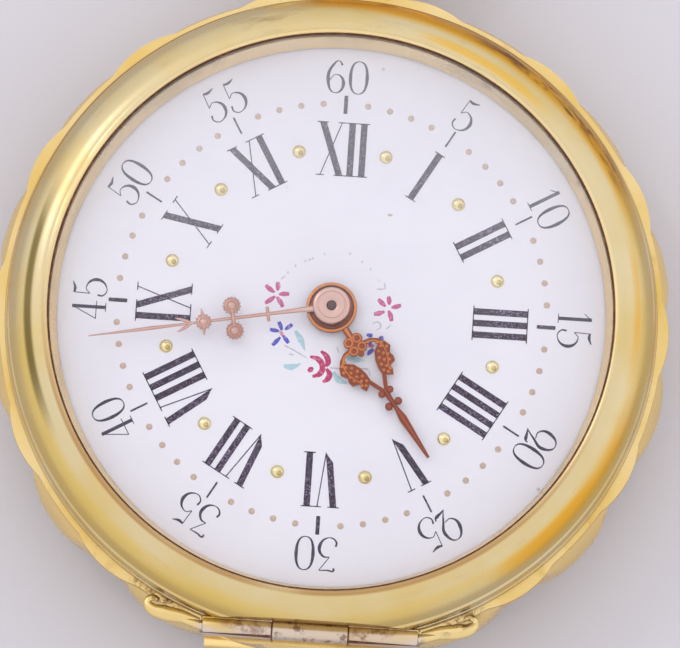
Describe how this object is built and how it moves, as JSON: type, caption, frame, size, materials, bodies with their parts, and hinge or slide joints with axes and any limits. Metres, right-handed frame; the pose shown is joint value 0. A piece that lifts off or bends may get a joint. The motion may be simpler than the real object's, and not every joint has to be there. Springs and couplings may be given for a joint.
{
  "type": "open-face fob watch",
  "caption": "Open-face fob watch: lobed round gold case with hinged bezel, back and inner cover, enamel dial, pierced hands, crown, bow and a stem-wound lever movement.",
  "frame": {"origin": "the middle of the flat on the back cover that the watch rests on", "axes": "+Z out of the dial, +Y towards the pendant and twelve, +X towards three"},
  "size_m": [0.0346, 0.0483, 0.0101],
  "materials": {
    "case_gold": "polished",
    "hinge_gold": "worn",
    "crystal_glass": "polished",
    "enamel": "glossy",
    "rose_gold": "polished",
    "copper_gold": "polished",
    "nickel": "striped",
    "steel": "polished",
    "blued_steel": "blued",
    "wheel_brass": "gilt",
    "ruby": "polished",
    "copper": "plain"
  },
  "bodies": {
    "case": {"case_band": "case_gold", "bezel_hinge_pin": "hinge_gold", "back_hinge_pin": "hinge_gold", "cuvette_hinge_pin": "hinge_gold", "pendant": "case_gold", "stem_sleeve": "steel", "dial": "enamel", "dial_feet": "copper", "dial_foot_screws": "blued_steel", "main_plate": "nickel", "barrel_bridge": "nickel", "crown_wheel_screw": "blued_steel", "click_screw": "blued_steel", "click_spring": "steel", "train_bridge": "nickel", "pallet_cock": "nickel", "hairspring_stud": "steel", "balance_cock": "nickel", "balance_cap": "ruby", "train_jewels": "ruby", "bridge_screws": "blued_steel", "case_screws": "blued_steel", "setting_spring": "steel", "yoke_spring": "steel"},
    "bezel": {"bezel": "case_gold", "crystal": "crystal_glass"},
    "back": {"back_cover": "case_gold"},
    "inner_cover": {"cuvette": "case_gold"},
    "bow": {"bow": "case_gold"},
    "winding": {"winding_pinion": "steel"},
    "crown": {"crown": "case_gold", "stem": "steel"},
    "clutch": {"sliding_pinion": "steel"},
    "crown_wheel": {"crown_wheel": "steel"},
    "ratchet": {"ratchet_wheel": "steel", "ratchet_screw": "blued_steel", "barrel_arbor": "steel"},
    "click": {"click": "steel"},
    "barrel": {"barrel_drum": "wheel_brass", "barrel_lid": "wheel_brass", "mainspring": "blued_steel"},
    "centre": {"center_wheel": "wheel_brass"},
    "third": {"third_wheel": "wheel_brass"},
    "fourth": {"fourth_wheel": "wheel_brass"},
    "escape": {"escape_wheel": "steel"},
    "lever": {"pallet_fork": "steel"},
    "balance": {"balance_wheel": "wheel_brass", "balance_screws": "wheel_brass", "balance_staff": "steel", "hairspring": "blued_steel"},
    "index": {"regulator": "steel"},
    "minute": {"minute_hand": "rose_gold", "cannon_pinion": "steel"},
    "hour": {"hour_hand": "copper_gold", "hour_wheel": "wheel_brass"},
    "motion": {"minute_wheel": "wheel_brass"},
    "setting": {"setting_wheel": "steel"},
    "set_lever": {"setting_lever": "steel"},
    "yoke": {"yoke": "steel"}
  },
  "joints": [
    {"name": "bezel_open", "type": "hinge", "parent": "case", "child": "bezel", "pos_m": [0, -0.01635, 0.007], "axis": [1, 0, 0], "range_deg": [0, 100]},
    {"name": "back_open", "type": "hinge", "parent": "case", "child": "back", "pos_m": [0, -0.01635, 0.00185], "axis": [-1, 0, 0], "range_deg": [0, 95]},
    {"name": "inner_cover_open", "type": "hinge", "parent": "case", "child": "inner_cover", "pos_m": [0, -0.0141, 0.00202], "axis": [-1, 0, 0], "range_deg": [0, 57]},
    {"name": "bow_swing", "type": "hinge", "parent": "case", "child": "bow", "pos_m": [0, 0.0196, 0.00435], "axis": [1, 0, 0], "range_deg": [-75, 75]},
    {"name": "crown_turn", "type": "hinge", "parent": "case", "child": "winding", "pos_m": [0, 0.0101, 0.00435], "axis": [0, 1, 0], "continuous": true},
    {"name": "crown_pull", "type": "slide", "parent": "winding", "child": "crown", "axis": [0, 1, 0], "range_m": [0, 0.0008]},
    {"name": "clutch_slide", "type": "slide", "parent": "winding", "child": "clutch", "axis": [0, 1, 0], "range_m": [-0.00065, 0]},
    {"name": "crown_wheel_turn", "type": "hinge", "parent": "case", "child": "crown_wheel", "pos_m": [0, 0.00718, 0.0025], "axis": [0, 0, 1], "continuous": true},
    {"name": "ratchet_turn", "type": "hinge", "parent": "case", "child": "ratchet", "pos_m": [-0.0054, 0.00211, 0.0025], "axis": [0, 0, 1], "continuous": true},
    {"name": "click_lift", "type": "hinge", "parent": "case", "child": "click", "pos_m": [-0.01019, -0.00088, 0.0025], "axis": [0, 0, 1], "range_deg": [-8, 0]},
    {"name": "set_lever_turn", "type": "hinge", "parent": "case", "child": "set_lever", "pos_m": [0.0026, 0.0117, 0.0061], "axis": [0, 0, 1], "range_deg": [-21.25, 0]},
    {"name": "yoke_turn", "type": "hinge", "parent": "case", "child": "yoke", "pos_m": [-0.003, 0.0096, 0.0061], "axis": [0, 0, 1], "range_deg": [-17.87, 0]},
    {"name": "fourth_turn", "type": "hinge", "parent": "case", "child": "fourth", "pos_m": [0.00534, -0.00174, 0.0042], "axis": [0, 0, 1], "continuous": true},
    {"name": "third_turn", "type": "hinge", "parent": "case", "child": "third", "pos_m": [0.00406, 0.00178, 0.0042], "axis": [0, 0, 1], "continuous": true},
    {"name": "centre_turn", "type": "hinge", "parent": "case", "child": "centre", "pos_m": [0, 0.0003, 0.0042], "axis": [0, 0, 1], "continuous": true},
    {"name": "barrel_turn", "type": "hinge", "parent": "case", "child": "barrel", "pos_m": [-0.0054, 0.00211, 0.004], "axis": [0, 0, 1], "continuous": true},
    {"name": "escape_turn", "type": "hinge", "parent": "case", "child": "escape", "pos_m": [0.00477, -0.00499, 0.0042], "axis": [0, 0, 1], "continuous": true},
    {"name": "lever_rock", "type": "hinge", "parent": "case", "child": "lever", "pos_m": [0.00249, -0.00539, 0.0045], "axis": [0, 0, 1], "range_deg": [-5, 5]},
    {"name": "balance_swing", "type": "hinge", "parent": "case", "child": "balance", "pos_m": [-0.00046, -0.00591, 0.0042], "axis": [0, 0, 1], "range_deg": [-270, 270]},
    {"name": "index_turn", "type": "hinge", "parent": "case", "child": "index", "pos_m": [-0.00046, -0.00591, 0.0026], "axis": [0, 0, 1], "range_deg": [-15, 15]},
    {"name": "minute_turn", "type": "hinge", "parent": "case", "child": "minute", "pos_m": [0, 0.0003, 0.007], "axis": [0, 0, 1], "continuous": true},
    {"name": "hour_turn", "type": "hinge", "parent": "case", "child": "hour", "pos_m": [0, 0.0003, 0.007], "axis": [0, 0, 1], "continuous": true},
    {"name": "motion_turn", "type": "hinge", "parent": "case", "child": "motion", "pos_m": [0.00083, 0.00339, 0.0063], "axis": [0, 0, 1], "continuous": true},
    {"name": "setting_turn", "type": "hinge", "parent": "case", "child": "setting", "pos_m": [0, 0.00698, 0.006], "axis": [0, 0, 1], "continuous": true}
  ],
  "couplings": [
    {"joint": "inner_cover_open", "follows": "back_open", "ratio": 0.6},
    {"joint": "crown_wheel_turn", "follows": "crown_turn", "ratio": 0.5},
    {"joint": "ratchet_turn", "follows": "crown_turn", "ratio": -0.42857},
    {"joint": "clutch_slide", "follows": "crown_pull", "ratio": -0.8125},
    {"joint": "set_lever_turn", "follows": "crown_pull", "rad_per_m": -463.56},
    {"joint": "yoke_turn", "follows": "crown_pull", "rad_per_m": -389.82},
    {"joint": "third_turn", "follows": "fourth_turn", "ratio": -0.13333},
    {"joint": "centre_turn", "follows": "fourth_turn", "ratio": 0.016667},
    {"joint": "barrel_turn", "follows": "fourth_turn", "ratio": -0.0023148},
    {"joint": "escape_turn", "follows": "fourth_turn", "ratio": -10},
    {"joint": "motion_turn", "follows": "minute_turn", "ratio": -0.33333},
    {"joint": "hour_turn", "follows": "minute_turn", "ratio": 0.083333},
    {"joint": "setting_turn", "follows": "minute_turn", "ratio": 0.625}
  ]
}
